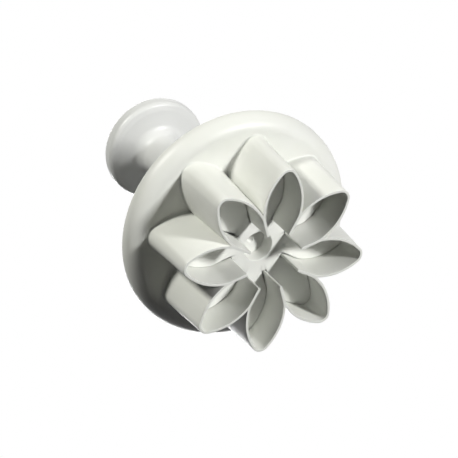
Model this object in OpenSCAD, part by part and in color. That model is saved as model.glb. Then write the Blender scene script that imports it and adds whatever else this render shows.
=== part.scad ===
// Plunger cutter: a petal-shaped cutting wall under a round flange, with a sprung
// ejector plate on a stem that a knob pushes down. Millimetres.
// The cutting edge lies on z = 0 and the knob is at the top.

/* [Cutting wall] */
// Number of petals
petal_count = 8; // [7:1:9]
// Distance from the axis to a petal's tip, outside, at the cutting edge
petal_reach = 22; // [20:0.5:24]
// Distance from the axis to a petal's widest place
petal_middle = 12.8; // [12:0.1:13.5]
// Half of a petal's width, outside, at the cutting edge
petal_half_width = 4.8; // [4.4:0.1:5.2]
// Radius of a petal's long sides, outside, at the cutting edge
side_radius = 13; // [12:0.5:15]
// Thickness of the wall at the cutting edge
edge_thickness = 0.5; // [0.4:0.05:0.7]
// Height of the wall, from the cutting edge to the flange
wall_height = 16.3; // [14:0.1:20]
// Thickness of the ridges between petals
ridge_thickness = 0.6; // [0.5:0.05:0.9]
// Radius of the open middle, where the ridges end
ridge_end_r = 6.7; // [6.6:0.1:7.4]

/* [Flange] */
// Outer radius of the flange
flange_r = 27.1; // [26.6:0.1:31]
// Radius of the rounded lip at the flange's front edge
lip_radius = 3.8; // [3:0.1:4.2]
// Thickness of the flange's floor
floor_thickness = 2.2; // [1.6:0.1:3]
// Height that the rim stands behind the floor
rim_height = 2.3; // [1.9:0.1:4]
// Width of the rim behind the floor
rim_width = 2.6; // [1.6:0.1:4]
// Rounding of the rim's back edges
rim_round = 0.7; // [0.3:0.1:0.8]

/* [Guide collar] */
// Thickness of the collar's wall around the spring
collar_wall = 1.8; // [1.2:0.1:3]
// Height of the guide bore's boss behind the floor, up to the spring's seat
seat_height = 5.5; // [4:0.5:9]
// Depth of the cup that holds the spring
cup_depth = 12; // [9:0.5:16]
// Radius of the fillet at the collar's foot
foot_fillet = 1.6; // [0.8:0.1:2.4]

/* [Plunger] */
// Outer radius of the hollow stem
stem_r = 4.2; // [3.8:0.1:4.5]
// Thickness of the stem's wall
stem_wall = 0.8; // [0.6:0.05:1]
// Thickness of the stem's closed front end
stem_end = 1.2; // [0.8:0.1:2]
// Distance that the plate is drawn back behind the cutting edge at rest
plate_depth = 8; // [6:0.1:10]
// Thickness of the ejector plate
plate_thickness = 2; // [1.4:0.1:3]
// Radius of the round hole in the plate's face
plate_hole_r = 3.4; // [2.8:0.1:3.6]
// Depth of that hole, from the plate's face to the stem's closed end
hole_depth = 3.7; // [2.5:0.1:4.2]
// Thickness of the boss's wall around the stem
boss_wall = 1.7; // [1:0.1:2]
// Distance that the plate comes out past the cutting edge, pushed right down
plate_out = 1; // [0:0.1:2]
// Depth that the stem enters the knob
socket_depth = 11; // [8:0.5:12]

/* [Knob] */
// Widest radius of the knob
knob_r = 12.1; // [11:0.1:15]
// Width of the rounding at the knob's rim, also its height towards the crown
knob_rim_r = 1.8; // [1.4:0.1:2.1]
// Depth of the rounding between the rim and the underside
rim_front = 1.5; // [0.8:0.1:2.4]
// Height of the straight band round the rim
rim_band = 1.3; // [0.4:0.1:3]
// Radius of the knob's neck
neck_r = 5; // [4.8:0.1:6]
// Height of the neck, from its foot to the knob's underside
neck_height = 13.2; // [12:0.1:20]
// Radius of the fillet between the neck and the underside
neck_fillet = 2.6; // [0.8:0.1:3.2]
// Height that the underside gains from the neck out to the rim
underside_rise = 1.1; // [0.3:0.1:2]
// Width that the neck's foot stands out over the neck
foot_out = 1.5; // [1:0.1:2.4]
// Height of the neck's foot
foot_height = 2; // [1.4:0.1:3]
// Height of the crown on top of the knob, above the rim
crown_height = 1.5; // [0.8:0.1:3]

/* [Spring] */
// Diameter of the spring's wire
wire_d = 0.7; // [0.5:0.05:0.8]
// Number of the spring's curls
spring_curls = 7; // [5:1:9]

/* [Fits] */
// Gap between the plate and the wall, and between the plate and the ridges
plate_gap = 0.2; // [0.15:0.05:0.4]
// Running clearance of the stem in the guide bore, on the radius
guide_gap = 0.08; // [0.04:0.01:0.1]
// Gap between the spring and the stem, and between the spring and its cup
spring_gap = 0.4; // [0.3:0.05:0.6]
// Gap left at each of the plunger's two stops
stop_gap = 0.15; // [0.1:0.05:0.3]

/* [Hidden] */
$fn = 96;
overrun = 1;
white = [0.93, 0.93, 0.90];
soft_white = [0.90, 0.90, 0.87];
steel = [0.72, 0.73, 0.75];

half_sector = 180 / petal_count;
side_drop = side_radius - petal_half_width;
tip_run = petal_reach - petal_middle;
tip_r = (tip_run * tip_run + side_drop * side_drop - side_radius * side_radius)
        / (2 * (tip_run - side_radius));
tip_centre = petal_reach - tip_r;
tangent_angle = atan2(side_drop, tip_centre - petal_middle);
tangent_x = petal_middle + side_radius * cos(tangent_angle);
// The long sides stop this far short of where they touch the tip's round
tangent_back = 0.12;
// Steps of a turned profile's large and small rounds
large_steps = 8;
small_steps = 4;

floor_top = wall_height + floor_thickness;
rim_top = floor_top + rim_height;
seat_z = floor_top + seat_height;
collar_top = seat_z + cup_depth;
bore_r = stem_r + guide_gap;
spring_mean_r = stem_r + spring_gap + wire_d / 2;
cup_r = spring_mean_r + wire_d / 2 + spring_gap;
collar_r = cup_r + collar_wall;

travel = plate_depth + plate_out;
boss_r = stem_r + boss_wall;
boss_top = wall_height - stop_gap;
foot_z = collar_top + travel + stop_gap;
foot_r = max(neck_r + foot_out, cup_r + foot_out / 2);
stem_front = plate_depth + hole_depth;
stem_top = foot_z + socket_depth;
stem_length = stem_top - stem_front;
under_z = foot_z + neck_height;
rim_centre_r = knob_r - knob_rim_r;
underside_slope = atan(underside_rise / (rim_centre_r - neck_r));
neck_fillet_z = under_z + neck_fillet * (tan(underside_slope) - 1 / cos(underside_slope));
rim_low_z = under_z + underside_rise + rim_front;
rim_z = rim_low_z + rim_band;
knob_top = rim_z + knob_rim_r + crown_height;

// Points of an arc in the plane of a profile, from one angle to another
function arc(cx, cz, rx, rz, from, to, steps) =
    [for (i = [0:steps]) let(a = from + (to - from) * i / steps)
        [cx + rx * cos(a), cz + rz * sin(a)]];

// A petal's outline drawn in by an inset, as two side arcs and a round tip
module petal_outline(inset) {
    intersection() {
        translate([petal_middle, -side_drop]) circle(r = side_radius - inset);
        translate([petal_middle, side_drop]) circle(r = side_radius - inset);
        translate([0, -petal_reach])
            square([tangent_x - tangent_back - inset * cos(tangent_angle), 2 * petal_reach]);
    }
    translate([tip_centre, 0]) circle(r = tip_r - inset);
}

// The sector of one petal, with half a ridge taken off each side
module sector(half_ridge) {
    apex = half_ridge / sin(half_sector);
    reach = petal_reach + overrun;
    spread = (reach - apex) * tan(half_sector);
    polygon([[apex, 0], [reach, -spread], [reach, spread]]);
}

// The wall's outside, where neighbouring petals run into one another
module flower_outline() {
    for (i = [0:petal_count - 1])
        rotate(i * 360 / petal_count) petal_outline(0);
    circle(r = ridge_end_r);
}

// All petals open into one another round the open middle
module flower_opening(inset, half_ridge, middle_r) {
    for (i = [0:petal_count - 1])
        rotate(i * 360 / petal_count)
            intersection() {
                petal_outline(inset);
                sector(half_ridge);
            }
    circle(r = middle_r);
}

// The flange, its rounded lip, the rim behind it and the guide collar, as one turned shape
module flange_and_collar() {
    lip_centre_r = flange_r - lip_radius;
    lip_centre_z = wall_height + lip_radius;
    rim_inner_r = flange_r - rim_width;
    rotate_extrude()
        polygon(concat(
            [[bore_r, wall_height]],
            arc(lip_centre_r, lip_centre_z, lip_radius, lip_radius, -90, 0, large_steps),
            arc(flange_r - rim_round, rim_top - rim_round, rim_round, rim_round, 0, 90, small_steps),
            arc(rim_inner_r + rim_round, rim_top - rim_round, rim_round, rim_round, 90, 180, small_steps),
            [[rim_inner_r, floor_top]],
            arc(collar_r + foot_fillet, floor_top + foot_fillet,
                foot_fillet, foot_fillet, 270, 180, small_steps),
            [[collar_r, collar_top], [cup_r, collar_top], [cup_r, seat_z], [bore_r, seat_z]]));
}

module cutter_body() {
    color(white)
        difference() {
            union() {
                flange_and_collar();
                linear_extrude(height = wall_height + floor_thickness / 2)
                    flower_outline();
            }
            translate([0, 0, -overrun])
                linear_extrude(height = wall_height + overrun)
                    flower_opening(edge_thickness, ridge_thickness / 2, ridge_end_r);
            translate([0, 0, wall_height - overrun])
                cylinder(h = floor_thickness + overrun, r = bore_r);
        }
}

module ejector_plate() {
    color(soft_white)
        difference() {
            union() {
                translate([0, 0, plate_depth])
                    linear_extrude(height = plate_thickness)
                        flower_opening(edge_thickness + plate_gap,
                                       ridge_thickness / 2 + plate_gap,
                                       ridge_end_r - plate_gap);
                translate([0, 0, plate_depth])
                    cylinder(h = boss_top - plate_depth, r = boss_r);
            }
            translate([0, 0, plate_depth - overrun])
                cylinder(h = boss_top - plate_depth, r = plate_hole_r);
            translate([0, 0, stem_front])
                cylinder(h = boss_top - stem_front + overrun, r = stem_r);
        }
}

// The stem stands on the shoulder in the plate's boss. Its front end is closed
module plunger_stem() {
    color(white)
        translate([0, 0, stem_front])
            difference() {
                cylinder(h = stem_length, r = stem_r);
                translate([0, 0, stem_end])
                    cylinder(h = stem_length, r = stem_r - stem_wall);
            }
}

// The knob is turned: a foot, a neck, a shallow cone below, a round rim and a low crown
module knob() {
    color(white)
        rotate_extrude()
            polygon(concat(
                [[0, stem_top], [stem_r, stem_top], [stem_r, foot_z], [foot_r, foot_z],
                 [foot_r, foot_z + foot_height],
                 [neck_r, foot_z + foot_height + foot_r - neck_r]],
                arc(neck_r + neck_fillet, neck_fillet_z, neck_fillet, neck_fillet,
                    180, 90 + underside_slope, small_steps),
                arc(rim_centre_r, rim_low_z, knob_rim_r, rim_front, -90, 0, small_steps),
                arc(rim_centre_r, rim_z, knob_rim_r, knob_rim_r, 0, 80, small_steps),
                arc(0, rim_z + knob_rim_r, rim_centre_r, crown_height, 0, 90, large_steps)));
}

spring_steps = 8;
wire_sides = 6;
end_run = wire_d;
turn_run = wire_d;
coil_bottom = seat_z + end_run + turn_run;
coil_top = foot_z - end_run - turn_run;
coil_pitch = (coil_top - coil_bottom) / spring_curls;

// A point of the wire's centre line on the coil, by its number of steps from the bottom
function coil_point(i) = let(a = 360 * i / spring_steps)
    [spring_mean_r * cos(a), spring_mean_r * sin(a), coil_bottom + coil_pitch * i / spring_steps];

coil_points = [for (i = [0:spring_curls * spring_steps]) coil_point(i)];
last_point = coil_points[len(coil_points) - 1];
// Each end leaves the coil, bends and runs straight into what the spring bears on
wire_path = concat(
    [[spring_mean_r, 0, seat_z], [spring_mean_r, 0, seat_z + end_run]],
    coil_points,
    [[last_point[0], last_point[1], foot_z - end_run], [last_point[0], last_point[1], foot_z]]);

function unit(v) = v / norm(v);
function along(path, i) =
    i <= 1 || i >= len(path) - 2 ? [0, 0, 1]
    : unit(path[i + 1] - path[i - 1]);
// Rings stand square to the wire, and their first corner points away from the axis
function ring(path, i) =
    let(p = path[i], t = along(path, i), out = unit([p[0], p[1], 0]),
        across = unit(cross(t, out)), side = cross(across, t))
    [for (k = [0:wire_sides - 1]) let(a = 360 * k / wire_sides)
        p + wire_d / 2 * (cos(a) * side + sin(a) * across)];

rings = len(wire_path);
wire_points = [for (i = [0:rings - 1]) each ring(wire_path, i)];
wire_faces = concat(
    [[for (k = [0:wire_sides - 1]) k]],
    [for (i = [0:rings - 2]) for (k = [0:wire_sides - 1])
        let(n = (k + 1) % wire_sides, a = i * wire_sides)
        each [[a + k, a + wire_sides + k, a + n], [a + n, a + wire_sides + k, a + wire_sides + n]]],
    [[for (k = [wire_sides - 1:-1:0]) (rings - 1) * wire_sides + k]]);

// Least gap of the wire to itself, measured between points at least half a curl apart
coil_gaps = [for (i = [0:rings - 1]) for (j = [i + spring_steps / 2:1:rings - 1])
    norm(wire_path[i] - wire_path[j]) - wire_d];
echo(least_wire_gap = min(coil_gaps));

module return_spring() {
    color(steel) polyhedron(points = wire_points, faces = wire_faces);
}

cutter_body();
ejector_plate();
plunger_stem();
knob();
return_spring();
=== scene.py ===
"""The finish of a plunger cutter: a petal-shaped cutting wall under a round flange,
with an ejector plate on a stem, a mushroom knob and a return spring."""
import math

import bmesh
import bpy
import numpy as np
from mathutils import Matrix, Vector


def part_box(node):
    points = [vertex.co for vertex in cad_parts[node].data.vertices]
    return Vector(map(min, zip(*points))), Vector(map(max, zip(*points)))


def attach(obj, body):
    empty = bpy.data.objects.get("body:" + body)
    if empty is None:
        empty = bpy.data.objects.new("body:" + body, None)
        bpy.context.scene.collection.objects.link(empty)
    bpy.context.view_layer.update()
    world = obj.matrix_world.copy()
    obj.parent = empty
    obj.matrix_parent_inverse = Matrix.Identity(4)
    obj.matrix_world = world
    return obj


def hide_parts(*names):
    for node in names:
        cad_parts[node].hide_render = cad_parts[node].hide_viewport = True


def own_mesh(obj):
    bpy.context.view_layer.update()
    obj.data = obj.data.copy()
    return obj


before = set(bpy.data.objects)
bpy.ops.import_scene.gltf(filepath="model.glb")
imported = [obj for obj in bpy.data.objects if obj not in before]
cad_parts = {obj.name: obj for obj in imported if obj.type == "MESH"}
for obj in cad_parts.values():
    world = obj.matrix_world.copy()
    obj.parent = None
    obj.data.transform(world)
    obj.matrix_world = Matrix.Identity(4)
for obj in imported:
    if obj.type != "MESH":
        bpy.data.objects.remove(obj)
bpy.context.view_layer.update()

MM = 0.001


def box_mm(node):
    """A node's lowest and highest corners in millimetres."""
    return [np.array(corner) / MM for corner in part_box(node)]


# Places that the frame gives, in millimetres
body_high = box_mm("cutter_body")[1]
plate_low, plate_high = box_mm("ejector_plate")
stem_low, stem_high = box_mm("plunger_stem")
knob_low, knob_high = box_mm("knob")
spring_low, spring_high = box_mm("return_spring")

# The cutting wall. A petal has two long sides, arcs of side_radius that are petal_half_width
# from its middle line at petal_middle, and a small round tip at petal_reach. Ridges of twice
# half_ridge part the petals on the inside, from ridge_end_r out to the groove.
PETALS = 8
petal_reach = 22.0
petal_middle = 12.8
petal_half_width = 4.8
side_radius = 13.0
edge_thickness = 0.58
wall_draft = 0.84
wall_height = 16.3
half_ridge = 0.34
ridge_end_r = 6.7
ridge_blend = 5.0
groove_margin = 0.4
edge_round = 0.06
root_fillet = 0.45
root_depth = 0.25

# The flange and the guide collar, with a cup in its top in which the spring sits
flange_r = body_high[0]
collar_top = body_high[2]
lip_radius = 3.8
floor_thickness = 2.2
rim_height = 2.3
rim_width = 2.6
rim_round = 0.7
rim_inner_fillet = 0.8
foot_fillet = 1.6
seat_z = spring_low[2]
bore_r = 4.28
bore_edge = 0.15
cup_r = 5.7
cup_edge = 0.3
cup_fillet = 0.3
seat_edge = 0.2
collar_r = 7.5
collar_edge = 0.35

# The plate, its boss and the stem
plate_front = plate_low[2]
boss_top = plate_high[2]
plate_thickness = 2.0
plate_gap = 0.12
ridge_gap = 0.16
plate_round = 0.1
plate_hole_r = 3.4
hole_round = 0.15
boss_wall = 1.7
boss_fillet = 0.6
boss_edge = 0.3
stem_r = stem_high[0]
stem_front = stem_low[2]
stem_top = stem_high[2]
stem_wall = 0.8
stem_end = 1.2
stem_edge = 0.1
stem_inner_fillet = 0.2
gate_r = 0.85
gate_floor_r = 0.51
gate_depth = 0.3
gate_edge = 0.15
gate_fillet = 0.2

# The knob, from its foot up. The rim has a slanted front, a straight band and a round turn
# of knob_rim_r that ends at the angle rim_turn, where the crown begins.
knob_r = knob_high[0]
foot_z = knob_low[2]
knob_top = knob_high[2]
socket_edge = 0.1
foot_r = 6.5
foot_height = 2.0
foot_edge = 0.4
foot_slope_round = 1.2
neck_r = 5.0
neck_fillet = 2.6
underside_rise = 1.1
underside_round = 3.0
rim_front = 1.5
rim_band = 1.3
rim_front_round = 1.2
rim_slope = 0.32
rim_turn = math.radians(76)
knob_rim_r = 1.8
crown_height = 1.5
rim_z = knob_top - crown_height - knob_rim_r
rim_low_z = rim_z - rim_band
under_z = rim_low_z - rim_front - underside_rise

# The spring. The closed end turns rise closed_pitch wire thicknesses a turn.
wire_d = 0.7
spring_mean_r = 4.95
closed_turns = 1.1
closed_pitch = 1.06
open_turns = 6.4
pitch_ease = 0.35

half_sector = math.pi / PETALS
side_drop = side_radius - petal_half_width
tip_run = petal_reach - petal_middle
tip_r = (tip_run ** 2 + side_drop ** 2 - side_radius ** 2) / (2 * (tip_run - side_radius))
tip_centre = petal_reach - tip_r
tangent_angle = math.atan2(side_drop, tip_centre - petal_middle)
floor_back = wall_height + floor_thickness
plate_back = plate_front + plate_thickness
boss_r = stem_r + boss_wall

# Points of half a petal: round the ridge's end, along its flank, round the blend,
# along the side and round the tip
END_STEPS, FLANK_STEPS, BLEND_STEPS, SIDE_STEPS, TIP_STEPS = 5, 10, 6, 30, 14
# Rows of the wall's outside and inside, and of the plate's hole, edge and boss
WALL_ROWS, LINING_ROWS = 12, 8
HOLE_ROWS, PLATE_EDGE_ROWS, BOSS_ROWS = 3, 4, 3
# Points of a small rounded corner, of the knob's rim and of its crown
CORNER_STEPS, RIM_STEPS, CROWN_STEPS = 4, 18, 16
# Points round a turned piece, along one turn of the spring's wire and round the wire
TURNED_STEPS, COIL_STEPS, WIRE_SIDES = 240, 44, 12
# A flat run has a row this close to each of its ends, so that it is shaded flat
FLAT_MARGIN = 0.06
# How even the points of the plate's circles are: 1 for even, 0 for the petal's own angles
RING_EVENNESS = 0.75
# Where the rows of the plate's face and back lie between its hole or boss and its edge
FACE_SHARES = (0, 0.2, 0.45, 0.7, 0.9, 1)
BACK_SHARES = (0, 0.3, 0.7, 1)
# Points closer than the first length in metres are merged, edges shorter than the second
# are dissolved, and edges past the angle are sharp
MERGED_WITHIN = 1e-6
DISSOLVED_WITHIN = 1e-7
SHARP_FROM = math.radians(35)


def run(start, stop, steps, first=True):
    """Evenly spaced values from start to stop, with or without the first one."""
    values = np.linspace(start, stop, steps + 1)
    return values if first else values[1:]


def arc(centre, radius, start, stop, steps, first=True):
    """Points centre + radius (cos a, sin a), with the angle a even from start to stop."""
    a = run(start, stop, steps, first)
    return np.stack([centre[0] + radius * np.cos(a), centre[1] + radius * np.sin(a)], axis=1)


def rounded_corner(radius):
    """Pairs (radius (1 - sin t), radius (1 - cos t)) for t from 0 to a quarter turn: the
    first falls from the radius to 0 while the second rises from 0 to the radius."""
    return [(radius * (1 - math.sin(t)), radius * (1 - math.cos(t)))
            for t in run(0, math.pi / 2, CORNER_STEPS)]


def along_ridge(s, offset):
    """Points at distance s along a ridge's middle line and offset to the petal's side."""
    s, offset = np.broadcast_arrays(np.asarray(s, float), np.asarray(offset, float))
    c, d = math.cos(half_sector), math.sin(half_sector)
    return np.stack([s * c + offset * d, s * d - offset * c], axis=-1)


def ridge_crossing(offset, radius):
    """Distance along a line beside the ridge to the circle of the petal's long side."""
    across = petal_middle * math.sin(half_sector) + side_drop * math.cos(half_sector)
    middle = petal_middle * math.cos(half_sector) - side_drop * math.sin(half_sector)
    return middle + math.sqrt(radius ** 2 - (offset - across) ** 2)


def ridge_top():
    """The middle line of half a ridge, from its end to the groove behind it."""
    end = ridge_end_r + half_ridge
    groove = ridge_crossing(0, side_radius)
    blend_start = ridge_crossing(half_ridge + ridge_blend,
                                 side_radius - edge_thickness - ridge_blend)
    flank_end = min(blend_start, groove - groove_margin)
    s = np.concatenate([
        end - half_ridge * np.cos(run(0, math.pi / 2, END_STEPS)),
        run(end, flank_end, FLANK_STEPS, False),
        run(flank_end, groove, BLEND_STEPS, False)[:-1]])
    return along_ridge(s, 0)


def outer_half(growth):
    """Half of a petal's outside, grown by growth: from the groove along the side arc about
    (petal_middle, -side_drop) and round the tip arc."""
    groove = ridge_crossing(0, side_radius + growth)
    start = math.atan2(groove * math.sin(half_sector) + side_drop,
                       groove * math.cos(half_sector) - petal_middle)
    side = arc((petal_middle, -side_drop), side_radius + growth, start, tangent_angle, SIDE_STEPS)
    tip = arc((tip_centre, 0), tip_r + growth, tangent_angle, 0, TIP_STEPS, False)
    return np.concatenate([side, tip])


def inner_half(inset, offset):
    """Half of a petal's inside: a round ridge end of radius offset, the ridge's flank, a
    blend of radius ridge_blend, the side arc and the tip arc, both drawn in by inset."""
    end = ridge_end_r + half_ridge
    a = run(0, math.pi / 2, END_STEPS)
    joint = ridge_crossing(offset + ridge_blend, side_radius - inset - ridge_blend)
    centre = along_ridge(joint, offset + ridge_blend)
    begin = half_sector + math.pi / 2
    start = math.atan2(centre[1] + side_drop, centre[0] - petal_middle)
    return np.concatenate([
        along_ridge(end - offset * np.cos(a), offset * np.sin(a)),
        along_ridge(run(end, joint, FLANK_STEPS, False), offset),
        arc(centre, ridge_blend, begin, start, BLEND_STEPS, False),
        arc((petal_middle, -side_drop), side_radius - inset, start, tangent_angle,
            SIDE_STEPS, False),
        arc((tip_centre, 0), tip_r - inset, tangent_angle, 0, TIP_STEPS, False)])


def flower(half):
    """A closed line of the whole flower: the half, its mirror image, and both turned."""
    petal = np.concatenate([half, half[::-1] * (1, -1)])
    a = -2 * half_sector * np.arange(PETALS)
    c, s = np.cos(a)[:, None], np.sin(a)[:, None]
    x, y = petal[:, 0], petal[:, 1]
    return np.stack([x * c - y * s, x * s + y * c], axis=-1).reshape(-1, 2)


def at_height(line, z):
    """A flat line lifted to the height z."""
    return np.column_stack([line, np.full(len(line), z)])


def grid_faces(count, length, closed_rows):
    """Quads over a grid of rows that are closed lines, as an array of four indices."""
    bands = count if closed_rows else count - 1
    i, j = np.arange(bands)[:, None], np.arange(length)[None, :]
    n, m = (i + 1) % count, (j + 1) % length
    quads = [i * length + j, n * length + j, n * length + m, i * length + m]
    return np.stack(quads, axis=-1).reshape(-1, 4)


def closed_up(mesh):
    """Merges points that meet, turns the faces outwards and marks the sharp edges."""
    solid = bmesh.new()
    solid.from_mesh(mesh)
    bmesh.ops.remove_doubles(solid, verts=solid.verts, dist=MERGED_WITHIN)
    bmesh.ops.dissolve_degenerate(solid, edges=solid.edges, dist=DISSOLVED_WITHIN)
    bmesh.ops.recalc_face_normals(solid, faces=solid.faces)
    solid.to_mesh(mesh)
    solid.free()
    mesh.shade_smooth()
    mesh.set_sharp_from_angle(angle=SHARP_FROM)
    return mesh


def sheet_mesh(name, grids, closed_rows=False):
    """A closed mesh of quads over grids of points. Each grid is rows of closed lines, and
    with closed_rows its last row joins its first."""
    points, faces, base = [], [], 0
    for rows in grids:
        rows = np.asarray(rows, float)
        points.append(rows.reshape(-1, 3) * MM)
        faces.append(grid_faces(*rows.shape[:2], closed_rows) + base)
        base += len(points[-1])
    mesh = bpy.data.meshes.new(name)
    mesh.from_pydata(np.concatenate(points).tolist(), [], np.concatenate(faces).tolist())
    return closed_up(mesh)


def corner_arc(before, here, after, radius, steps):
    """An arc of that radius that touches the lines from here to before and to after."""
    u = (before - here) / np.linalg.norm(before - here)
    v = (after - here) / np.linalg.norm(after - here)
    half_angle = math.acos(np.clip(u @ v, -1, 1)) / 2
    back = radius / math.tan(half_angle)
    middle = here + (u + v) / np.linalg.norm(u + v) * radius / math.sin(half_angle)
    a0, a1 = (math.atan2(*(here + w * back - middle)[::-1]) for w in (u, v))
    turn = (a1 - a0 + math.pi) % (2 * math.pi) - math.pi
    return arc(middle, radius, a0, a0 + turn, steps)


def flat_run(start, stop, step):
    """Points between two places: one near each end, and others no more than step apart."""
    length = np.linalg.norm(stop - start)
    if length < 3 * FLAT_MARGIN:
        return np.empty((0, 2))
    even = run(0, 1, max(int(length / step), 1))[1:-1]
    t = np.sort(np.concatenate([[FLAT_MARGIN / length, 1 - FLAT_MARGIN / length], even]))
    return start + t[:, None] * (stop - start)


def rounded_profile(corners, step=0.6, arc_steps=8, closed=True):
    """A line through corners (r, z, round), each an arc or, without round, sharp."""
    places = np.array([c[:2] for c in corners], float)
    bends = []
    for k, (_, _, radius) in enumerate(corners):
        before, here, after = places[k - 1], places[k], places[(k + 1) % len(places)]
        bends.append(corner_arc(before, here, after, radius, arc_steps) if radius
                     else here[None])
    line = [bends[0]]
    for before, after in zip(bends, bends[1:] + bends[:1] if closed else bends[1:]):
        line += [flat_run(before[-1], after[0], step), after]
    return np.concatenate(line[:-1] if closed else line)


def turned_mesh(name, profile):
    """The closed profile (r, z) turned round the axis: x = r cos a, y = r sin a."""
    a = np.arange(TURNED_STEPS) * 2 * math.pi / TURNED_STEPS
    r, z = profile[:, 0][:, None], profile[:, 1][:, None]
    rows = np.stack([r * np.cos(a), r * np.sin(a), z + 0 * a], axis=-1)
    return sheet_mesh(name, [rows], closed_rows=True)


def cutting_wall():
    """One ring of thin wall. Rows run down the drafted outside from the fillet at the
    flange, over the rounded cutting edge and up the straight inside."""
    root_z = wall_height + root_depth
    root_growth = wall_draft + root_fillet

    def outside(growth, z):
        return at_height(flower(outer_half(growth)), z)

    def outside_with_ridges(growth, z):
        return at_height(flower(np.concatenate([ridge_top(), outer_half(growth)])), z)

    def inside(draw, z):
        return at_height(flower(inner_half(edge_thickness - draw, half_ridge - draw)), z)

    rows = [outside(root_growth, root_z)]
    rows += [outside(wall_draft + u, wall_height - v) for u, v in rounded_corner(root_fillet)]
    rows += [outside(wall_draft * z / wall_height, z)
             for z in run(wall_height - root_fillet, edge_round, WALL_ROWS, False)]
    rows += [outside(-v, u) for u, v in rounded_corner(edge_round)[1:]]
    edge = [outside_with_ridges(-edge_round, 0), inside(edge_round, 0)]
    lining = [inside(u, v) for u, v in rounded_corner(edge_round)]
    lining += [inside(0, z) for z in run(edge_round, root_z, LINING_ROWS, False)]
    back = [outside_with_ridges(root_growth, root_z), inside(0, root_z)]
    return sheet_mesh("petal_wall", [rows, edge, lining, back])


def flange_and_collar():
    """The flange with its round lip, the rim behind it and the guide collar, turned."""
    rim_top = floor_back + rim_height
    rim_inner = flange_r - rim_width
    return turned_mesh("flange_and_collar", rounded_profile([
        (bore_r, wall_height, bore_edge), (flange_r, wall_height, lip_radius),
        (flange_r, rim_top, rim_round), (rim_inner, rim_top, rim_round),
        (rim_inner, floor_back, rim_inner_fillet), (collar_r, floor_back, foot_fillet),
        (collar_r, collar_top, collar_edge), (cup_r, collar_top, cup_edge),
        (cup_r, seat_z, cup_fillet), (bore_r, seat_z, seat_edge)], arc_steps=12))


def lobed_plate():
    """The plate and its boss as one closed surface. Rows run from the shoulder in the boss
    down the hole, over the face and the edge, over the back, up the boss and down its socket.
    The rows of a flat face lie at shares of the way between its round and its lobed line."""
    inset, offset = edge_thickness + plate_gap, half_ridge + ridge_gap
    half = inner_half(inset, offset)
    even = run(1, 0, len(half) - 1) * half_sector
    own = np.arctan2(half[:, 1], half[:, 0])
    angle = RING_EVENNESS * even + (1 - RING_EVENNESS) * own
    angle[0] = half_sector
    circle = flower(np.stack([np.cos(angle), np.sin(angle)], axis=1))

    def lobes(draw, z):
        return at_height(flower(inner_half(inset + draw, offset + draw)), z)

    def ring(radius, z):
        return at_height(circle * radius, z)

    def between(first, last, shares):
        return [first + (last - first) * t for t in shares]

    rows = [ring(stem_r, stem_front), ring(plate_hole_r, stem_front)]
    rows += [ring(plate_hole_r, z)
             for z in run(stem_front, plate_front + hole_round, HOLE_ROWS, False)]
    rows += [ring(plate_hole_r + v, plate_front + u) for u, v in rounded_corner(hole_round)[1:]]
    rows += between(ring(plate_hole_r + hole_round + FLAT_MARGIN, plate_front),
                    lobes(plate_round + FLAT_MARGIN, plate_front), FACE_SHARES)
    rows += [lobes(u, plate_front + v) for u, v in rounded_corner(plate_round)]
    rows += [lobes(0, z) for z in run(plate_front + plate_round, plate_back - plate_round,
                                      PLATE_EDGE_ROWS, False)]
    rows += [lobes(v, plate_back - u) for u, v in rounded_corner(plate_round)[1:]]
    rows += between(lobes(plate_round + FLAT_MARGIN, plate_back),
                    ring(boss_r + boss_fillet + FLAT_MARGIN, plate_back), BACK_SHARES)
    rows += [ring(boss_r + u, plate_back + v) for u, v in rounded_corner(boss_fillet)]
    rows += [ring(boss_r, z)
             for z in run(plate_back + boss_fillet, boss_top - boss_edge, BOSS_ROWS, False)]
    rows += [ring(boss_r - v, boss_top - u) for u, v in rounded_corner(boss_edge)[1:]]
    rows += [ring(stem_r, boss_top)]
    return sheet_mesh("lobed_plate", [np.array(rows)], closed_rows=True)


def closed_stem():
    """The tube of the stem. A small round gate mark is sunk in its closed front end."""
    inner_r = stem_r - stem_wall
    gate_z = stem_front + gate_depth
    return turned_mesh("closed_stem", rounded_profile([
        (0, gate_z, 0), (gate_floor_r, gate_z, gate_fillet),
        (gate_r, stem_front, gate_edge), (stem_r, stem_front, stem_edge),
        (stem_r, stem_top, stem_edge), (inner_r, stem_top, stem_edge),
        (inner_r, stem_front + stem_end, stem_inner_fillet),
        (0, stem_front + stem_end, 0)], step=2.0, arc_steps=6))


def mushroom_knob():
    """The knob: a foot, a neck, a shallow cone below, a round rim and a crown, whose height
    falls from the top with the square of the radius."""
    rim_start_r = knob_r - knob_rim_r
    under = rounded_profile([
        (0, stem_top, 0), (stem_r, stem_top, 0), (stem_r, foot_z, socket_edge),
        (foot_r, foot_z, foot_edge), (foot_r, foot_z + foot_height, foot_edge),
        (neck_r, foot_z + foot_height + foot_r - neck_r, foot_slope_round),
        (neck_r, under_z, neck_fillet), (rim_start_r, under_z + underside_rise, underside_round),
        (knob_r, rim_low_z - rim_front + knob_rim_r * rim_slope, rim_front_round),
        (knob_r, rim_z, 0)], arc_steps=10, closed=False)
    rim = arc((rim_start_r, rim_z), knob_rim_r, 0, rim_turn, RIM_STEPS, False)
    r = run(rim[-1, 0], 0, CROWN_STEPS, False)
    fall = (knob_top - rim[-1, 1]) / rim[-1, 0] ** 2
    crown = np.stack([r, knob_top - fall * r ** 2], axis=1)
    return turned_mesh("mushroom_knob", np.concatenate([under, rim, crown]))


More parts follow.
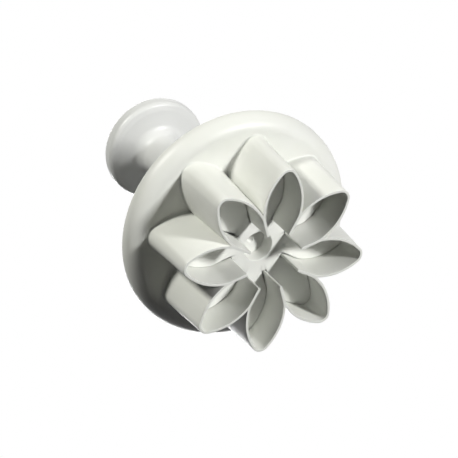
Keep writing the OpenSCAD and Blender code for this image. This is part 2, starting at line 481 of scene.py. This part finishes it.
def wire_height(t, turns):
    """Height of the wire's middle after t turns: the running sum of a pitch that is closed
    at both ends and opens between them by the smooth step share^2 (3 - 2 share)."""
    inwards = np.minimum(t, turns - t) - closed_turns
    share = np.clip((inwards + pitch_ease) / (2 * pitch_ease), 0, 1)
    ease = share * share * (3 - 2 * share)
    low, high = spring_low[2] + wire_d / 2, spring_high[2] - wire_d / 2
    closed = closed_pitch * wire_d * t
    opened = np.concatenate([[0], np.cumsum((ease[1:] + ease[:-1]) / 2 * np.diff(t))])
    return low + closed + opened * (high - low - closed[-1]) / opened[-1]


def coil_spring():
    """A round wire along a helix (r cos a, r sin a, z): rings of points at cos b and sin b
    along the two directions across it. The map wire counts turns and goes round."""
    turns = open_turns + 2 * closed_turns
    t = run(0, turns, int(turns * COIL_STEPS))
    a = 2 * math.pi * t
    path = np.stack([spring_mean_r * np.cos(a), spring_mean_r * np.sin(a),
                     wire_height(t, turns)], axis=1)
    along = np.gradient(path, axis=0)
    along /= np.linalg.norm(along, axis=1)[:, None]
    up = np.cross(along, np.stack([np.cos(a), np.sin(a), 0 * a], axis=1))
    up /= np.linalg.norm(up, axis=1)[:, None]
    out = np.cross(up, along)
    b = 2 * math.pi * np.arange(WIRE_SIDES) / WIRE_SIDES
    around = np.cos(b)[None, :, None] * out[:, None] + np.sin(b)[None, :, None] * up[:, None]
    rows = path[:, None] + around * wire_d / 2
    count = len(rows)
    faces = grid_faces(count, WIRE_SIDES, False)
    last = (count - 1) * WIRE_SIDES
    caps = [list(range(WIRE_SIDES)), list(range(last + WIRE_SIDES - 1, last - 1, -1))]
    mesh = bpy.data.meshes.new("coil_spring")
    mesh.from_pydata((rows.reshape(-1, 3) * MM).tolist(), [], faces.tolist() + caps)
    i = np.repeat(np.arange(count - 1), WIRE_SIDES)
    j = np.tile(np.arange(WIRE_SIDES), count - 1)
    corners = np.stack([[i, j], [i + 1, j], [i + 1, j + 1], [i, j + 1]], axis=0)
    flat = corners.transpose(2, 0, 1).reshape(-1, 2) * (1 / COIL_STEPS, 1 / WIRE_SIDES)
    uv = np.concatenate([flat, np.zeros((2 * WIRE_SIDES, 2))])
    mesh.uv_layers.new(name="wire").data.foreach_set("uv", uv.ravel())
    return closed_up(mesh)


class Value:
    """A shader socket that adds Math nodes when it is used in an expression."""

    def __init__(self, shader, socket):
        self.shader, self.socket = shader, socket

    def _math(self, operation, a, b):
        return self.shader.node("ShaderNodeMath", {"operation": operation}, {0: a, 1: b})

    def __add__(self, other):
        return self._math("ADD", self, other)

    def __radd__(self, other):
        return self._math("ADD", other, self)

    def __sub__(self, other):
        return self._math("SUBTRACT", self, other)

    def __rsub__(self, other):
        return self._math("SUBTRACT", other, self)

    def __mul__(self, other):
        return self._math("MULTIPLY", self, other)

    def __rmul__(self, other):
        return self._math("MULTIPLY", other, self)


class Shader:
    """The nodes of a material or a world, made one at a time by node()."""

    def __init__(self, owner):
        owner.use_nodes = True
        self.owner, self.tree = owner, owner.node_tree
        self.tree.nodes.clear()

    def node(self, kind, settings=None, values=None, output=0):
        """A node of that kind: settings first, then the values or links of its sockets."""
        made = self.tree.nodes.new(kind)
        for key, value in (settings or {}).items():
            if key == "stops":
                ramp = made.color_ramp
                while len(ramp.elements) < len(value):
                    ramp.elements.new(1.0)
                for element, (place, grey) in zip(ramp.elements, value):
                    element.position = place
                    element.color = (grey, grey, grey, 1)
            else:
                setattr(made, key, value)
        for key, value in (values or {}).items():
            if isinstance(value, Value):
                self.tree.links.new(value.socket, made.inputs[key])
            else:
                made.inputs[key].default_value = value
        return Value(self, made.outputs[output]) if made.outputs else made

    def place(self, stretch=(1, 1, 1)):
        """Object coordinates in millimetres, times a stretch along each axis."""
        at = self.node("ShaderNodeTexCoord", output="Object")
        size = tuple(s / MM for s in stretch)
        return self.node("ShaderNodeVectorMath", {"operation": "MULTIPLY"}, {0: at, 1: size})

    def noise(self, where, scale, detail=3.0, roughness=0.5):
        """Smooth noise from 0 to 1."""
        return self.node("ShaderNodeTexNoise", {"noise_dimensions": "3D"},
                         {"Vector": where, "Scale": scale, "Detail": detail,
                          "Roughness": roughness})

    def ramp(self, value, stops):
        """A grey ramp over a value, through (place, grey) stops."""
        return self.node("ShaderNodeValToRGB", {"stops": stops}, {"Fac": value})

    def mix(self, share, a, b):
        """The colour a where share is 0 and b where it is 1. Sockets 6 and 7 and output 2
        are the Mix node's colours."""
        return self.node("ShaderNodeMix", {"data_type": "RGBA"}, {0: share, 6: a, 7: b}, 2)

    def bump(self, height, strength, distance_mm):
        """The normal of a surface with that height."""
        return self.node("ShaderNodeBump", None, {"Strength": strength, "Height": height,
                                                  "Distance": distance_mm * MM})

    def surface(self, values):
        """The Principled shader with these values, on the output."""
        shaded = self.node("ShaderNodeBsdfPrincipled", None, values)
        self.node("ShaderNodeOutputMaterial", None, {"Surface": shaded})
        return self.owner


# The plastic's patterns, in cells per millimetre, with the stretch of the scuffs along and
# across the axes, and the ramps' stops
cloud_scale, cloud_stops = 0.11, [(0.35, 0), (0.7, 1)]
fleck_scale, fleck_stops = 0.13, [(0.0, 1), (0.022, 0)]
fleck_share, fleck_colour = 0.55, (0.42, 0.41, 0.38, 1)
grain_scale, grain_rough, grain_height = 2.6, 0.10, 0.35
hills_scale, hills_rough = 0.55, 0.08
scuff_x_stretch, scuff_x_stops = (0.12, 2.4, 2.4), [(0.66, 0), (0.72, 1)]
scuff_y_stretch, scuff_y_stops = (2.1, 0.16, 1.1), [(0.68, 0), (0.74, 1)]
scuff_rough, scuff_depth = 0.10, 0.25
plastic_bump, plastic_bump_mm = 0.25, 0.02

# The spring wire's colours, lines and patches
steel_dark, steel_light = (0.50, 0.51, 0.53, 1), (0.68, 0.69, 0.71, 1)
patch_scale, patch_share, patch_colour = 0.5, 0.25, (0.42, 0.41, 0.40, 1)
line_stretch, line_scale = (0.4, 26.0, 1.0), 2.0
steel_rough, line_rough = 0.22, 0.16
steel_bump, steel_bump_mm = 0.3, 0.01


def plastic(name, light, dark, roughness, peel):
    """Moulded plastic. Its colour clouds between two tints and has sparse dark flecks. A fine
    grain, a shallow peel and hair-fine scuffs vary the roughness and the height."""
    shader = Shader(bpy.data.materials.new(name))
    where = shader.place()
    cloud = shader.ramp(shader.noise(where, cloud_scale, 4.0), cloud_stops)
    colour = shader.mix(cloud, light, dark)
    cells = shader.node("ShaderNodeTexVoronoi", {"feature": "F1"},
                        {"Vector": where, "Scale": fleck_scale, "Randomness": 1.0}, "Distance")
    fleck = shader.ramp(cells, fleck_stops)
    colour = shader.mix(fleck * fleck_share, colour, fleck_colour)
    grain = shader.noise(where, grain_scale, 3.0, 0.6)
    hills = shader.noise(where, hills_scale, 2.0)
    scuff_x = shader.ramp(shader.noise(shader.place(scuff_x_stretch), 1.0, 2.0), scuff_x_stops)
    scuff_y = shader.ramp(shader.noise(shader.place(scuff_y_stretch), 1.0, 2.0), scuff_y_stops)
    scuff = scuff_x + scuff_y
    rough = (roughness + (grain - 0.5) * grain_rough + (hills - 0.5) * hills_rough
             + scuff * scuff_rough)
    height = grain * grain_height + hills * peel - scuff * scuff_depth
    return shader.surface({"Base Color": colour, "Roughness": rough,
                           "Normal": shader.bump(height, plastic_bump, plastic_bump_mm),
                           "IOR": 1.47, "Specular IOR Level": 0.4})


def drawn_steel(name):
    """Drawn wire: fine lines along the wire, from its own map, and slight dark patches."""
    shader = Shader(bpy.data.materials.new(name))
    at = shader.node("ShaderNodeUVMap", {"uv_map": "wire"})
    lines = shader.node("ShaderNodeVectorMath", {"operation": "MULTIPLY"},
                        {0: at, 1: line_stretch})
    streak = shader.noise(lines, line_scale, 4.0, 0.65)
    patch = shader.noise(shader.place(), patch_scale, 3.0)
    colour = shader.mix(streak, steel_dark, steel_light)
    colour = shader.mix(patch * patch_share, colour, patch_colour)
    return shader.surface({"Base Color": colour, "Metallic": 1.0,
                           "Roughness": steel_rough + streak * line_rough,
                           "Normal": shader.bump(streak, steel_bump, steel_bump_mm)})


def add_piece(name, mesh, material, body, node):
    """A piece that stands for a node, rides on a body and takes its finish from a slot."""
    piece = bpy.data.objects.new(name, mesh)
    bpy.context.scene.collection.objects.link(piece)
    mesh.materials.append(material)
    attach(piece, body)
    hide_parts(node)
    return piece


# The camera: its direction from the object and its roll in degrees, its distance in metres,
# the scale, and the pixel of the square photograph where the middle of the cutting edge's
# plane falls
FRAME_PX = 458
SENSOR_MM = 36.0
camera_azimuth, camera_elevation, camera_roll = -3.53, -51.97, -46.12
camera_distance = 0.600
clip_near, clip_far = 0.01, 20.0
pixels_per_mm = 4.616
origin_px = (274.7, 262.1)

# The lamps face this height on the axis, in millimetres
lamp_aim_z = 25.0

# The floor, in metres: it lies just under the cutting edge and turns white from floor_fade
# to floor_white
floor_radius = 1.6
floor_sides = 96
floor_drop = 0.0002
floor_fade = 0.12
floor_white = 0.8
floor_grey = (0.25, 0.25, 0.25, 1)


def photo_camera():
    """A camera without shift that sees the origin at origin_px at the stated scale."""
    az, el, roll = (math.radians(v) for v in (camera_azimuth, camera_elevation, camera_roll))
    towards = Vector((math.sin(az) * math.cos(el), -math.cos(az) * math.cos(el), math.sin(el)))
    level = (-towards).cross(Vector((0, 0, 1))).normalized()
    upright = level.cross(-towards)
    right = math.cos(roll) * level + math.sin(roll) * upright
    up = -math.sin(roll) * level + math.cos(roll) * upright
    aside = (origin_px[0] - FRAME_PX / 2) * MM / pixels_per_mm
    above = (origin_px[1] - FRAME_PX / 2) * MM / pixels_per_mm
    data = bpy.data.cameras.new("photo_camera")
    data.sensor_width = SENSOR_MM
    data.lens = pixels_per_mm / MM * camera_distance / FRAME_PX * SENSOR_MM
    data.clip_start, data.clip_end = clip_near, clip_far
    camera = bpy.data.objects.new("photo_camera", data)
    place = towards * camera_distance - right * aside + up * above
    turned = Matrix((right, up, towards)).transposed().to_4x4()
    camera.matrix_world = Matrix.Translation(place) @ turned
    bpy.context.scene.collection.objects.link(camera)
    bpy.context.scene.camera = camera


def soft_lamp(name, azimuth, elevation, distance, size, watts, colour):
    """A square lamp that faces the object from that azimuth and elevation in degrees, with
    its distance and size in metres."""
    a, e = math.radians(azimuth), math.radians(elevation)
    direction = Vector((math.cos(a) * math.cos(e), math.sin(a) * math.cos(e), math.sin(e)))
    data = bpy.data.lights.new(name, "AREA")
    data.shape, data.size, data.energy, data.color = "SQUARE", size, watts, colour
    lamp = bpy.data.objects.new(name, data)
    lamp.location = Vector((0, 0, lamp_aim_z * MM)) + direction * distance
    lamp.rotation_mode = "QUATERNION"
    lamp.rotation_quaternion = direction.to_track_quat("Z", "Y")
    bpy.context.scene.collection.objects.link(lamp)


def white_world(gloss):
    """White for camera and transmission rays, less for glossy ones and dark for diffuse."""
    world = bpy.data.worlds.new("white_world")
    bpy.context.scene.world = world
    shader = Shader(world)
    camera = shader.node("ShaderNodeLightPath", output="Is Camera Ray")
    glossy = shader.node("ShaderNodeLightPath", output="Is Glossy Ray")
    through = shader.node("ShaderNodeLightPath", output="Is Transmission Ray")
    white = shader.node("ShaderNodeBackground", None,
                        {"Color": (1, 1, 1, 1), "Strength": camera + through + glossy * gloss})
    shader.node("ShaderNodeOutputWorld", None, {"Surface": white})


def pale_floor(glow):
    """A round floor under the cutting edge, pale to the camera, darker in the object's shadow
    and white from floor_white on. It is clear from below, where the photograph's camera
    stands, and lets light and shadow rays through."""
    a = np.arange(floor_sides) * 2 * math.pi / floor_sides
    rim = np.stack([floor_radius * np.cos(a), floor_radius * np.sin(a),
                    np.full(floor_sides, -floor_drop)], axis=1)
    mesh = bpy.data.meshes.new("pale_floor")
    mesh.from_pydata(rim.tolist(), [], [list(range(floor_sides))])
    shader = Shader(bpy.data.materials.new("pale_floor"))
    camera = shader.node("ShaderNodeLightPath", output="Is Camera Ray")
    under = shader.node("ShaderNodeNewGeometry", output="Backfacing")
    at = shader.node("ShaderNodeTexCoord", output="Object")
    reach = shader.node("ShaderNodeVectorMath", {"operation": "LENGTH"}, {0: at}, "Value")
    fade = shader.ramp(reach, [(floor_fade, 0), (floor_white, 1)])
    matt = shader.node("ShaderNodeBsdfDiffuse", None, {"Color": floor_grey})
    pale = shader.node("ShaderNodeEmission", None,
                       {"Strength": camera * (glow + fade * (1 - glow))})
    solid = shader.node("ShaderNodeAddShader", None, {0: matt, 1: pale})
    clear = shader.node("ShaderNodeBsdfTransparent")
    mixed = shader.node("ShaderNodeMixShader", None, {0: under, 1: solid, 2: clear})
    shader.node("ShaderNodeOutputMaterial", None, {"Surface": mixed})
    mesh.materials.append(shader.owner)
    floor = bpy.data.objects.new("pale_floor", mesh)
    bpy.context.scene.collection.objects.link(floor)
    floor.visible_shadow = False
    floor.visible_diffuse = False
    floor.visible_glossy = False
    floor.visible_transmission = False


white_plastic = plastic("white_plastic", light=(0.74, 0.745, 0.715, 1),
                        dark=(0.71, 0.72, 0.675, 1), roughness=0.42, peel=0.9)
plate_plastic = plastic("plate_plastic", light=(0.80, 0.805, 0.775, 1),
                        dark=(0.77, 0.78, 0.74, 1), roughness=0.48, peel=0.6)
knob_plastic = plastic("knob_plastic", light=(0.685, 0.69, 0.685, 1),
                       dark=(0.66, 0.665, 0.655, 1), roughness=0.38, peel=0.9)
steel = drawn_steel("spring_steel")

add_piece("petal_wall", cutting_wall(), white_plastic, "cutter", "cutter_body")
add_piece("flange_and_collar", flange_and_collar(), white_plastic, "cutter", "cutter_body")
add_piece("lobed_plate", lobed_plate(), plate_plastic, "plunger", "ejector_plate")
add_piece("closed_stem", closed_stem(), white_plastic, "plunger", "plunger_stem")
add_piece("mushroom_knob", mushroom_knob(), knob_plastic, "plunger", "knob")
spring = add_piece("coil_spring", coil_spring(), steel, "cutter", "return_spring")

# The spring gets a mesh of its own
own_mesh(spring)

photo_camera()

soft_lamp("key_lamp", 349, -50, 0.7, 0.092, 5.1, (1.0, 1.0, 0.985))
soft_lamp("side_lamp", 265, 10, 0.9, 0.13, 6.3, (1.0, 1.0, 0.94))
soft_lamp("back_lamp", 103, 42, 0.9, 0.45, 5.0, (1.0, 1.0, 1.0))
soft_lamp("top_lamp", 62, 76, 0.9, 0.55, 2.3, (1.0, 1.0, 1.0))
white_world(gloss=0.95)
pale_floor(glow=0.72)

bpy.context.scene.view_settings.view_transform = "Standard"
